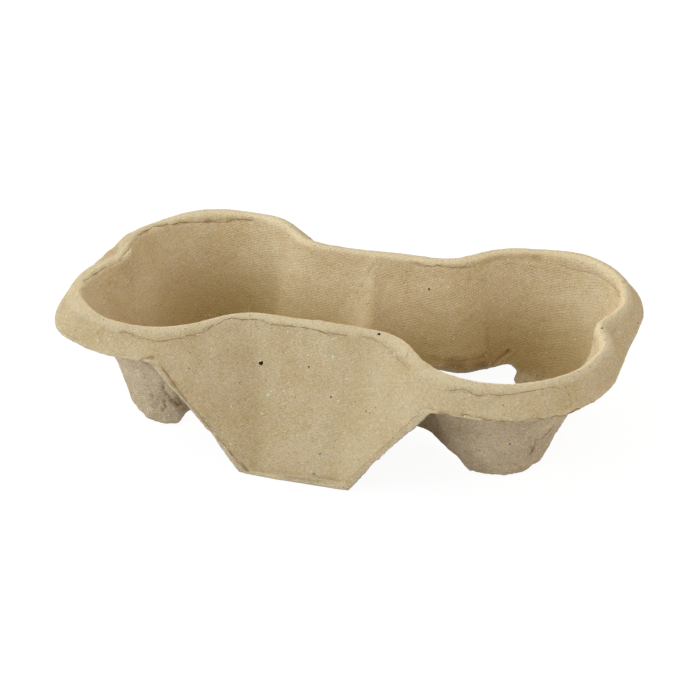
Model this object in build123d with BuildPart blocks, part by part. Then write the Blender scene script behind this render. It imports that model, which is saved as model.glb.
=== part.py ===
from build123d import *
from math import atan2, cos, hypot, pi, radians, sin, sqrt, tan
import os

os.makedirs("parts", exist_ok=True)

# Driving dimensions, mm. X runs along the carrier, -Y is its front, Z is up from the table.
height = 48.0
sheet = 2.0

# Rim: a rounded crest that runs round two lobes, a waist and a dent at each end.
crest_radius = 2.9
crest_flat = 0.4
lobe_x = 64.0
lobe_y = 14.0
lobe_radius = 35.3
lobe_end_radius = 15.0
lobe_end_spread = 2.0
lobe_end_bulge = 0.2
shoulder_back = 3.6
shoulder_out = 7.2
shoulder_tighter = 7.7
end_dent_depth = 5.8
end_dent_radius = 7.0
end_dent_fade_z = 34.0
end_dent_fade_depth = 1.0
waist_half_width = 28.5
waist_bend_x = 20.4
waist_bend_radius = 20.0
inner_crest_angles = (47, 24)
outer_crest_angles = (45, 23)

# Skirt that flares out and down from the crest to a free lower edge.
hem_drop = 9.0
hem_flare_side = 9.0
hem_flare_end = 6.2
hem_corner_radius = 40.0
hem_corner_inset = 0.1
hem_end_radius = 32.0
hem_end_spread = 10.0
hem_dent_depth = 0.5

# Scooped apron at the front and at the back, from the waist down to a straight lip on the table.
apron_fall = 6.1
apron_bend_x = 14.0
apron_bend_radius = 16.0
apron_shoulder_x = 51.5
apron_shoulder_radius = 8.0
apron_half_width = 17.0
apron_foot_bend_radius = 5.0
apron_tuck = 1.3
apron_level_share = 1.13
lip_depth = 3.0
lip_overhang = 2.0
flank_end_radius = 1.0
flank_run_on = 30.0

# Pockets: steep walls that narrow to open bottoms, with feet under the outer corners.
wall_lean = 20.0
divider_half_top = 8.0
divider_corner_top = 12.0
divider_half_foot = 14.0
divider_corner_foot = 11.0
nose_radius = 4.0
foot_x = 60.6
foot_y = 16.5
foot_radius = 15.4
foot_end_radius = 7.9
foot_end_inset = 1.0
foot_dent_depth = 1.0
foot_dent_radius = 6.0
foot_waist_half_width = 14.5
foot_bend_x = 33.1
foot_bend_radius = 17.2
foot_setback = 10.6
edge_lift = 5.3
edge_flare = 3.4
edge_flare_drop = 0.8
flare_root = 8.0
arch_half_depth = 40.5
toe_belly = 4.0
toe_run = 5.6
toe_slope = 0.3
hole_x = 45.0
hole_radius = 27.5

# How far cutters and fillers run past what they meet, and how near counts as on the middle plane.
clear = 1.0
margin = 10.0
slack = 0.01
steepest = 0.999

hem_z = height - hem_drop
hem_half_width = lobe_y + lobe_radius + hem_flare_side
hem_end = lobe_x + lobe_radius + hem_flare_end
apron_reach = hem_half_width - apron_tuck
lean = radians(wall_lean)
crest_inner = crest_radius * (cos(lean) - (1 - sin(lean)) * tan(lean))
crest_outer = crest_radius * tan(pi / 8)
wall_grow = sheet / cos(lean)
skirt_grow = sheet * sqrt(2)
apron_grow = sheet * apron_level_share


def grown(wheels, amounts):
    """Move an outline outwards: every wheel keeps its centre and only its radius changes."""
    if not isinstance(amounts, (list, tuple)):
        amounts = [amounts] * len(wheels)
    return [(x, y, r + a) for (x, y, r), a in zip(wheels, amounts)]


def between(first, second, share):
    """Wheels part of the way from one outline to another."""
    return [tuple(a + (b - a) * share for a, b in zip(p, q)) for p, q in zip(first, second)]


def heading(first, second):
    """Direction of the straight run that leaves one wheel and reaches the next."""
    x0, y0, r0 = first
    x1, y1, r1 = second
    span = hypot(x1 - x0, y1 - y0)
    rise = max(-steepest * span, min(steepest * span, r1 - r0))
    return atan2(y1 - y0, x1 - x0) - atan2(rise, sqrt(span * span - rise * rise))


def outline(wheels):
    """Arcs (start, middle, end) of a closed belt round signed wheels: plus bulges out, minus bends in."""
    ways = [heading(wheels[i], wheels[(i + 1) % len(wheels)]) for i in range(len(wheels))]
    sides = [(-sin(way), cos(way)) for way in ways]
    arcs = []
    for i, (x, y, r) in enumerate(wheels):
        ax, ay = sides[i - 1]
        bx, by = sides[i]
        size = hypot(ax + bx, ay + by)
        mx, my = (ax + bx) / size, (ay + by) / size
        arcs.append(((x - r * ax, y - r * ay), (x - r * mx, y - r * my), (x - r * bx, y - r * by)))
    return arcs


def draw(wheels, z):
    """Sketch one belt outline on a level plane."""
    arcs = outline(wheels)
    with BuildSketch(Plane.XY.offset(z)) as level:
        with BuildLine():
            for i, (start, middle, end) in enumerate(arcs):
                ThreePointArc(start, middle, end)
                Line(end, arcs[(i + 1) % len(arcs)][0])
        make_face()
    return level.sketch


def half_outline(quarter, dent):
    """Right-hand half of an outline, anticlockwise from the front waist, from its back quarter."""
    front = [(x, -y, r) for x, y, r in reversed(quarter)]
    return front + [dent] + list(quarter)


def full_outline(quarter, dent):
    """Whole outline from its back right quarter and the dent in its end."""
    right = half_outline(quarter, dent)
    return right + [(-x, -y, r) for x, y, r in right]


def crest_step(angle):
    """Depth below the top and distance from the crest line, part of the way round the crest."""
    return crest_radius * (1 - cos(radians(angle))), crest_radius * sin(radians(angle))


# Crest line: end wheel, lobe, shoulder of the lobe, bend into the waist.
lobe_end_x = lobe_x + lobe_radius - lobe_end_radius + lobe_end_bulge
waist_bend_y = waist_half_width + waist_bend_radius
crest_quarter = [
    (lobe_end_x, lobe_y + lobe_end_spread, lobe_end_radius),
    (lobe_x, lobe_y, lobe_radius),
    (lobe_x - shoulder_back, lobe_y + shoulder_out, lobe_radius - shoulder_tighter),
    (waist_bend_x, waist_bend_y, -waist_bend_radius),
]
dent_x = lobe_x + lobe_radius - end_dent_depth + end_dent_radius
crest = full_outline(crest_quarter, (dent_x, 0, -end_dent_radius))

# Hem line, which follows the tops of the aprons between the lobes.
apron_top = waist_half_width + apron_fall
hem_quarter = [
    (hem_end - hem_end_radius, hem_end_spread, hem_end_radius),
    (hem_end - hem_corner_radius - hem_corner_inset, hem_half_width - hem_corner_radius, hem_corner_radius),
    (apron_shoulder_x, hem_half_width - apron_shoulder_radius, apron_shoulder_radius),
    (apron_bend_x, apron_top + apron_bend_radius, -apron_bend_radius),
]
hem_dent = (hem_end - hem_dent_depth + end_dent_radius, 0, -end_dent_radius)
hem = full_outline(hem_quarter, hem_dent)

# Inner outline of the right pocket at the crest and, carried on down, at the table.
brim_quarter = [
    (lobe_end_x, lobe_y + lobe_end_spread, lobe_end_radius - crest_inner),
    (lobe_x, lobe_y, lobe_radius - crest_inner),
    (waist_bend_x, waist_bend_y, -waist_bend_radius - crest_inner),
    (
        divider_corner_top - divider_half_top,
        waist_half_width - crest_inner - divider_corner_top,
        divider_corner_top,
    ),
]
brim = half_outline(brim_quarter, (dent_x, 0, -end_dent_radius - crest_inner))
foot_end = foot_x + foot_radius
foot_quarter = [
    (foot_end - foot_end_radius, foot_y - foot_end_inset, foot_end_radius),
    (foot_x, foot_y, foot_radius),
    (foot_bend_x, foot_waist_half_width + foot_bend_radius, -foot_bend_radius),
    (
        divider_half_foot + divider_corner_foot,
        foot_waist_half_width - divider_corner_foot,
        divider_corner_foot,
    ),
]
foot = half_outline(foot_quarter, (foot_end - foot_dent_depth + foot_dent_radius, 0, -foot_dent_radius))
flare = [edge_flare] * 2 + [0] * 5 + [edge_flare] * 2
dent_place = len(foot_quarter)


def pocket_levels(grow, floor, top):
    """Outlines of the right pocket from its floor up, grown by the given amount."""
    levels = []
    for z in (floor, edge_lift - edge_flare_drop, flare_root, end_dent_fade_z, top):
        wheels = between(foot, brim, z / height)
        if z == end_dent_fade_z:
            end = foot_end + (lobe_x + lobe_radius - crest_inner - foot_end) * z / height
            r = wheels[dent_place][2]
            wheels[dent_place] = (end - end_dent_fade_depth - r, 0, r)
        wheels = grown(wheels, grow)
        if z < edge_lift:
            wheels = grown(wheels, flare)
        levels.append(draw(wheels, z))
    return levels


def nose_edges(pockets):
    """Edges where the two pockets meet, between the floor and the crest."""
    return pockets.edges().filter_by(lambda e: abs(e.center().X) < slack and clear < e.center().Z < hem_z)


# Air inside both pockets, opened out over the crest; the divider's top and its noses are rounded.
air_levels = pocket_levels(0, sheet, height - crest_step(90 - wall_lean)[0])
for angle in inner_crest_angles:
    drop, away = crest_step(angle)
    air_levels.append(draw(grown(brim, crest_inner - away), height - drop))
for z in (height, height + clear):
    air_levels.append(draw(grown(brim, crest_inner - crest_flat), z))
with BuildPart() as pocket_air:
    loft(air_levels, ruled=True)
    mirror(about=Plane.YZ)
    fillet(nose_edges(pocket_air), nose_radius)

# The same two pockets grown by the sheet, as the underside sees them.
with BuildPart() as pocket_core:
    loft(pocket_levels(wall_grow, 0, height), ruled=True)
    mirror(about=Plane.YZ)
    fillet(nose_edges(pocket_core), nose_radius - sheet)

# Upper side of the skirt, from the hem up and half-way round the crest.
skirt_levels = [draw(hem, hem_z)]
for angle in outer_crest_angles:
    drop, away = crest_step(angle)
    skirt_levels.append(draw(grown(crest, away), height - drop))
skirt_levels.append(draw(grown(crest, crest_flat), height))
with BuildPart() as skirt_over:
    loft(skirt_levels, ruled=True)

# Underside of the skirt.
shrink = ([-apron_grow] + [-skirt_grow] * 7 + [-apron_grow]) * 2
land = between(grown(crest, crest_outer), hem, sheet / hem_drop)
under_levels = [draw(grown(hem, shrink), hem_z), draw(grown(land, shrink), height - sheet)]
with BuildPart() as skirt_under:
    loft(under_levels, ruled=True)

# The apron's flank keeps the direction it has at the hem.
flank = heading(
    (apron_bend_x, -apron_top - apron_bend_radius, -apron_bend_radius),
    (apron_shoulder_x, -hem_half_width + apron_shoulder_radius, apron_shoulder_radius),
)
apron_foot = apron_reach - lip_depth
foot_wheel_y = apron_foot + apron_foot_bend_radius
foot_wheel_back = apron_reach - foot_wheel_y + apron_foot_bend_radius / cos(flank)
foot_wheel_x = apron_half_width - foot_wheel_back / tan(-flank)


def scoop_levels(grow):
    """Outlines of the hollow in front of an apron, from the table to the hem, set back by grow."""
    way = pi + flank
    levels = []
    for z, x, y, r in (
        (0, foot_wheel_x, -foot_wheel_y, apron_foot_bend_radius),
        (hem_z, apron_bend_x, -apron_top - apron_bend_radius, apron_bend_radius),
    ):
        run = (hem_half_width + flank_run_on + y) / sin(-flank)
        far_x = x + (r - flank_end_radius) * sin(way) - run * cos(way)
        far_y = y - (r - flank_end_radius) * cos(way) - run * sin(way)
        wheels = [(far_x, far_y, flank_end_radius), (x, y, r), (-x, y, r), (-far_x, far_y, flank_end_radius)]
        levels.append(draw(grown(wheels, grow), z))
    return levels


with BuildPart() as scoop_air:
    loft(scoop_levels(0), ruled=True)
    mirror(about=Plane.XZ)

with BuildPart() as scoop_core:
    loft(scoop_levels(apron_grow), ruled=True)
    mirror(about=Plane.XZ)

# Everything below the upper side of the sheet.
with BuildPart() as over:
    with BuildSketch(Plane.XY):
        Rectangle(2 * hem_end, 2 * apron_reach)
    with BuildSketch(Plane.XY.offset(hem_z)):
        Rectangle(2 * hem_end, 2 * hem_half_width)
    loft(ruled=True)
    add(scoop_air.part, mode=Mode.SUBTRACT)
    add(skirt_over.part)
    add(pocket_air.part, mode=Mode.SUBTRACT)

# Everything below its underside, wider than the hem so that nothing hangs below the skirt.
with BuildPart() as under:
    with BuildSketch(Plane.XY.offset(-clear)):
        Rectangle(2 * (hem_end + margin), 2 * (hem_half_width + margin))
    extrude(amount=hem_z + clear)
    add(scoop_core.part, mode=Mode.SUBTRACT)
    add(skirt_under.part)
    add(pocket_core.part, mode=Mode.SUBTRACT)

# Trim under the pockets, drawn from the front: level towards the waist, down to the table at each foot.
heel = foot_x - foot_setback
belly = heel + toe_belly
toe = heel + toe_run
with BuildPart() as arch:
    with BuildSketch(Plane.XZ):
        with BuildLine():
            Polyline((-heel, edge_lift), (heel, edge_lift))
            Spline((heel, edge_lift), (belly, edge_lift / 2), (toe, 0), tangents=[(1, 0), (toe_slope, -1)])
            Polyline((toe, 0), (toe, -clear), (-toe, -clear), (-toe, 0))
            Spline((-toe, 0), (-belly, edge_lift / 2), (-heel, edge_lift), tangents=[(toe_slope, 1), (1, 0)])
        make_face()
    extrude(amount=arch_half_depth, both=True)

# The moulded sheet: trimmed under the pockets, with round holes in their floors and a lip on each apron.
with BuildPart() as cup_carrier:
    add(over.part)
    add(under.part, mode=Mode.SUBTRACT)
    add(arch.part, mode=Mode.SUBTRACT)
    with BuildSketch(Plane.XY.offset(-clear)):
        with Locations((hole_x, 0), (-hole_x, 0)):
            Circle(hole_radius)
    extrude(amount=sheet + 1.5 * clear, mode=Mode.SUBTRACT)
    lip_middle = apron_reach - (lip_depth + sheet) / 2
    with BuildSketch(Plane.XY):
        with Locations((0, lip_middle), (0, -lip_middle)):
            Rectangle(2 * (apron_half_width + lip_overhang), lip_depth + sheet)
    extrude(amount=sheet)

cup_carrier.part.label = "cup_carrier"
export_step(cup_carrier.part, "parts/cup_carrier.step")
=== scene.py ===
"""Looks for a carrier moulded in paper pulp, with open pockets for take-away cups."""

import logging
import math
from collections.abc import Iterable
from dataclasses import dataclass
from enum import Enum

import bmesh
import bpy
import numpy as np
from mathutils import Matrix, Vector
from mathutils.bvhtree import BVHTree
from mathutils.kdtree import KDTree

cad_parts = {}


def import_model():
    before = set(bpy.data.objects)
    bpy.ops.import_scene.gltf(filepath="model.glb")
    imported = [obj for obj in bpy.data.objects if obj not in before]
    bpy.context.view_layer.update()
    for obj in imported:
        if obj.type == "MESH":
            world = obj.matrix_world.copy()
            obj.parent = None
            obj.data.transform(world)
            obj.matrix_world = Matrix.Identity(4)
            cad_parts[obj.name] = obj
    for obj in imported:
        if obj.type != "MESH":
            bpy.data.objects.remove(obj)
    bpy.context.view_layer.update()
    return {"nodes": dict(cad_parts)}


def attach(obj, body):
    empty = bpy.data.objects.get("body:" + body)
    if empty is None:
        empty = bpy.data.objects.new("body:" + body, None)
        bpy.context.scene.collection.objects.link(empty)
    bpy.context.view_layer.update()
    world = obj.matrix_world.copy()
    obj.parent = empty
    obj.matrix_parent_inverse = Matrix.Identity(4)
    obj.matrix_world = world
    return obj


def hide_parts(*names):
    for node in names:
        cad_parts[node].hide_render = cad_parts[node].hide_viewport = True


MM = 0.001
TINY = 1e-9
WHITE = (1.0, 1.0, 1.0, 1.0)
LOG = logging.getLogger("cup_carrier")

# Numbers of sockets that share a name, on a mix set to colour and a random value set to float.
MIX_FIRST = 6
MIX_SECOND = 7
MIX_RESULT = 2
RANDOM_LEAST = 2
RANDOM_MOST = 3
RANDOM_RESULT = 1

# What a colour noise swings about.
NOISE_MIDDLE = (0.5, 0.5, 0.5)


class Mark(Enum):
    """Numbers kept for each vertex of the sheet, by the names of their attributes.

    TRIM is the distance from a trimmed edge in millimetres. The others go from 0 to 1: turned down,
    on the crest, painted shade in a crease or along an edge, facing into a pocket, and low in a pocket.
    """

    TRIM = "trim"
    UNDER = "under"
    CREST = "crest"
    CREASE = "crease"
    POCKET = "pocket"
    DEEP = "deep"


def linear(code: str) -> tuple[float, float, float, float]:
    """Turn an sRGB hex colour into the linear colour that a socket takes.

    Args:
        code: Six hex digits.

    Returns:
        Red, green, blue and an alpha of one.
    """
    parts = [int(code[i : i + 2], 16) / 255 for i in (0, 2, 4)]
    red, green, blue = (c / 12.92 if c <= 0.04045 else ((c + 0.055) / 1.055) ** 2.4 for c in parts)
    return red, green, blue, 1.0


def smooth_step(value: np.ndarray, low: float, high: float) -> np.ndarray:
    """Rise smoothly from 0 at low to 1 at high."""
    t = np.clip((value - low) / (high - low), 0.0, 1.0)
    return t * t * (3.0 - 2.0 * t)


def fading(away: np.ndarray, reach: float) -> np.ndarray:
    """Fall smoothly from 1 where the distance is nothing to about a third at the reach, and on to 0."""
    return np.exp(-((away / reach) ** 2))


def points_of(mesh: bpy.types.Mesh) -> np.ndarray:
    """Read where the vertices of a mesh are.

    Args:
        mesh: The mesh.

    Returns:
        One row for each vertex, in millimetres.
    """
    flat = np.empty(len(mesh.vertices) * 3, np.float64)
    mesh.vertices.foreach_get("co", flat)
    return flat.reshape(-1, 3) / MM


def normals_of(mesh: bpy.types.Mesh) -> np.ndarray:
    """Read which way the vertices of a mesh face.

    Args:
        mesh: The mesh.

    Returns:
        One row for each vertex, one unit long.
    """
    flat = np.empty(len(mesh.vertices) * 3, np.float64)
    mesh.vertices.foreach_get("normal", flat)
    return flat.reshape(-1, 3)


def move_points(mesh: bpy.types.Mesh, points: np.ndarray) -> None:
    """Write vertex positions, given in millimetres, back to a mesh."""
    mesh.vertices.foreach_set("co", (points * MM).ravel())
    mesh.update()


def store(mesh: bpy.types.Mesh, name: str, values: np.ndarray) -> None:
    """Keep one number for each vertex under a name that the material reads."""
    layer = mesh.attributes.new(name, "FLOAT", "POINT")
    layer.data.foreach_set("value", np.asarray(values, np.float32))


def link(obj: bpy.types.Object) -> bpy.types.Object:
    """Put an object in the scene and return it."""
    bpy.context.scene.collection.objects.link(obj)
    return obj


def plain_mesh(obj: bpy.types.Object) -> bpy.types.Mesh:
    """Bake an object's modifiers into its own mesh.

    Args:
        obj: An object in the scene with live modifiers.

    Returns:
        The new mesh, which the object now holds with no modifier left.
    """
    graph = bpy.context.evaluated_depsgraph_get()
    graph.update()
    baked = bpy.data.meshes.new_from_object(obj.evaluated_get(graph), depsgraph=graph)
    obj.modifiers.clear()
    obj.data = baked
    return baked


def search_tree(places: Iterable[Vector | np.ndarray]) -> KDTree:
    """Sort points for quick searches.

    Args:
        places: The points.

    Returns:
        A tree that finds the nearest one and its number.
    """
    places = list(places)
    tree = KDTree(len(places))
    for i, place in enumerate(places):
        tree.insert(place, i)
    tree.balance()
    return tree


def distance_to(line: np.ndarray, points: np.ndarray) -> np.ndarray:
    """Distance from each point to a line of straight runs.

    Args:
        line: Corners of the line.
        points: The points.

    Returns:
        The distances.
    """
    away = np.full(len(points), np.inf)
    for a, b in zip(line[:-1], line[1:]):
        run = b - a
        t = np.clip(((points - a) @ run) / max(run @ run, TINY), 0.0, 1.0)
        away = np.minimum(away, np.linalg.norm(points - (a + t[:, None] * run), axis=1))
    return away


class RandomField:
    """A smooth random field in space, made of sine waves in fixed random directions."""

    # Shortest and longest wave, as shares of two swells' width.
    pitch_spread: tuple[float, float] = (0.7, 1.5)

    def __init__(self, size: float, seed: int, waves: int = 28) -> None:
        """Draw the waves.

        Args:
            size: Typical width of one swell, in millimetres.
            seed: Fixed seed.
            waves: How many waves are added up.
        """
        rng = np.random.default_rng(seed)
        ways = rng.normal(size=(waves, 3))
        ways /= np.linalg.norm(ways, axis=1)[:, None]
        pitch = size * 2.0 * rng.uniform(*self.pitch_spread, waves)
        self.ways = ways * (2.0 * math.pi / pitch)[:, None]
        self.starts = rng.uniform(0.0, 2.0 * math.pi, waves)
        self.gain = math.sqrt(2.0 / waves)

    def __call__(self, points: np.ndarray) -> np.ndarray:
        """Add up the waves.

        Args:
            points: Places, in millimetres.

        Returns:
            Value at each point, with a spread of about one.
        """
        total = np.zeros(len(points))
        for way, start in zip(self.ways, self.starts):
            total += np.sin(points @ way + start)
        return total * self.gain


@dataclass(frozen=True)
class PhotoCamera:
    """The viewpoint of the photograph.

    Attributes:
        place: Where the camera stands, in millimetres.
        azimuth: Turn to the right of straight in front, in degrees.
        elevation: How steeply it looks down, in degrees.
        roll: Turn about its own axis, in degrees.
        focal: Focal length, in points of the picture.
        frame: Side of the square picture, in points.
        sensor: Width of the sensor, in millimetres.
        nearest: Nearest distance that is drawn, in metres.
        farthest: Farthest distance that is drawn, in metres.
    """

    place: tuple[float, float, float] = (186.88, -423.32, 297.30)
    azimuth: float = 23.95
    elevation: float = 30.892
    roll: float = -3.591
    focal: float = 1440.2
    frame: float = 700.0
    sensor: float = 36.0
    nearest: float = 0.01
    farthest: float = 20.0

    def axes(self) -> Matrix:
        """Work out how the camera is turned.

        Returns:
            Its axes as columns: right, up and back.
        """
        a = math.radians(self.azimuth)
        e = math.radians(self.elevation)
        r = math.radians(self.roll)
        back = Vector((math.sin(a) * math.cos(e), -math.cos(a) * math.cos(e), math.sin(e)))
        level = Vector((math.cos(a), math.sin(a), 0.0))
        lift = back.cross(level)
        right = math.cos(r) * level + math.sin(r) * lift
        up = math.cos(r) * lift - math.sin(r) * level
        return Matrix((right, up, back)).transposed()

    def ray(self, x: float, y: float) -> Vector:
        """Look into the scene through a point of the picture.

        Args:
            x: Points from the picture's left edge.
            y: Points from its upper edge.

        Returns:
            The direction, one unit long.
        """
        middle = self.frame / 2
        ahead = Vector(((x - middle) / self.focal, (middle - y) / self.focal, -1.0))
        return (self.axes() @ ahead).normalized()

    def build(self) -> bpy.types.Object:
        """Make the camera and hand it to the scene.

        Returns:
            The camera's object.
        """
        data = bpy.data.cameras.new("photo_camera")
        data.sensor_width = self.sensor
        data.lens = self.focal / self.frame * self.sensor
        data.clip_start = self.nearest
        data.clip_end = self.farthest
        camera = link(bpy.data.objects.new("photo_camera", data))
        camera.matrix_world = Matrix.Translation(Vector(self.place) * MM) @ self.axes().to_4x4()
        bpy.context.scene.camera = camera
        return camera


class SurfaceFinder:
    """Finds where points of the picture lie on the sheet."""

    def __init__(self, mesh: bpy.types.Mesh, camera: PhotoCamera) -> None:
        """Sort the sheet's faces for quick searches.

        Args:
            mesh: The sheet's mesh.
            camera: The viewpoint of the picture.
        """
        self.camera = camera
        self.faces = BVHTree.FromPolygons([v.co for v in mesh.vertices], [p.vertices for p in mesh.polygons])

    def hit(self, x: float, y: float) -> tuple[Vector, Vector] | None:
        """Place and normal in millimetres that a point of the picture shows, if any."""
        place, normal, _, _ = self.faces.ray_cast(Vector(self.camera.place) * MM, self.camera.ray(x, y))
        return None if place is None else (place / MM, normal)

    def drop(self, place: Vector) -> Vector:
        """Nearest point of the sheet, in millimetres."""
        return self.faces.find_nearest(place * MM)[0] / MM


@dataclass(frozen=True)
class Bend:
    """A gentle push that takes the carrier out of its mould shape.

    Attributes:
        name: What moves and where to.
        centre: Where the push is strongest, in millimetres.
        reach: Distance over which it fades along each axis, in millimetres.
        shift: How far the sheet moves there, in millimetres.
    """

    name: str
    centre: tuple[float, float, float]
    reach: tuple[float, float, float]
    shift: tuple[float, float, float]

    def move(self, points: np.ndarray) -> np.ndarray:
        """Displacement of each point."""
        away = (points - np.array(self.centre)) / np.array(self.reach)
        return np.exp(-(away**2).sum(axis=1))[:, None] * np.array(self.shift)


@dataclass(frozen=True)
class Crease:
    """A line pressed or cracked into the surface.

    Attributes:
        name: What and where it is.
        path: Points of the picture that it passes through.
        depth: How deep it is, in millimetres.
        width: Half its width, in millimetres.
        lip: Height of the swelling beside it, as a share of its depth.
        painted_shade: How dark the painted shade in the fold is, from 0 to 1.
        crack: Half the width of the fine line in its bottom, in millimetres, or none at 0.
    """

    name: str
    path: tuple[tuple[float, float], ...]
    depth: float = 0.35
    width: float = 0.45
    lip: float = 0.25
    painted_shade: float = 0.2
    crack: float = 0.13


# How handling has pushed this carrier out of its mould shape.
BENDS = (
    Bend("left_end_out", centre=(-104.0, -28.0, 40.0), reach=(22.0, 34.0, 22.0), shift=(-3.4, -1.5, -0.8)),
    Bend("left_foot_out", centre=(-70.0, -16.0, 0.0), reach=(26.0, 30.0, 20.0), shift=(-4.0, -4.5, 0.0)),
    Bend(
        "left_foot_front_out",
        centre=(-60.0, -30.0, 2.0),
        reach=(15.0, 12.0, 9.0),
        shift=(1.8, -2.6, -0.2),
    ),
    Bend("right_end_in", centre=(104.0, 8.0, 40.0), reach=(25.0, 40.0, 25.0), shift=(-1.6, 0.0, 0.0)),
    Bend("left_back_rim_in", centre=(-64.0, 48.0, 48.0), reach=(45.0, 25.0, 25.0), shift=(0.0, -1.6, -0.8)),
    Bend("right_back_rim_in", centre=(64.0, 48.0, 48.0), reach=(45.0, 25.0, 25.0), shift=(0.0, -0.9, -0.5)),
    Bend(
        "apron_foot_left_out",
        centre=(-14.0, -57.0, 2.0),
        reach=(20.0, 12.0, 12.0),
        shift=(-1.0, -2.0, -0.6),
    ),
    Bend("right_end_rim_out", centre=(90.0, 0.0, 48.0), reach=(10.0, 14.0, 14.0), shift=(1.5, -1.0, 0.0)),
    Bend("left_end_dent_up", centre=(-101.5, 1.0, 42.0), reach=(6.0, 10.5, 5.5), shift=(-1.0, 0.0, 3.5)),
    Bend(
        "left_end_front_rim_down",
        centre=(-97.0, -15.0, 49.0),
        reach=(8.0, 12.0, 6.0),
        shift=(0.8, 0.0, -1.3),
    ),
    Bend(
        "left_end_back_rim_down",
        centre=(-92.0, 24.0, 49.0),
        reach=(8.0, 11.0, 6.0),
        shift=(0.6, 0.0, -1.1),
    ),
)
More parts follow.
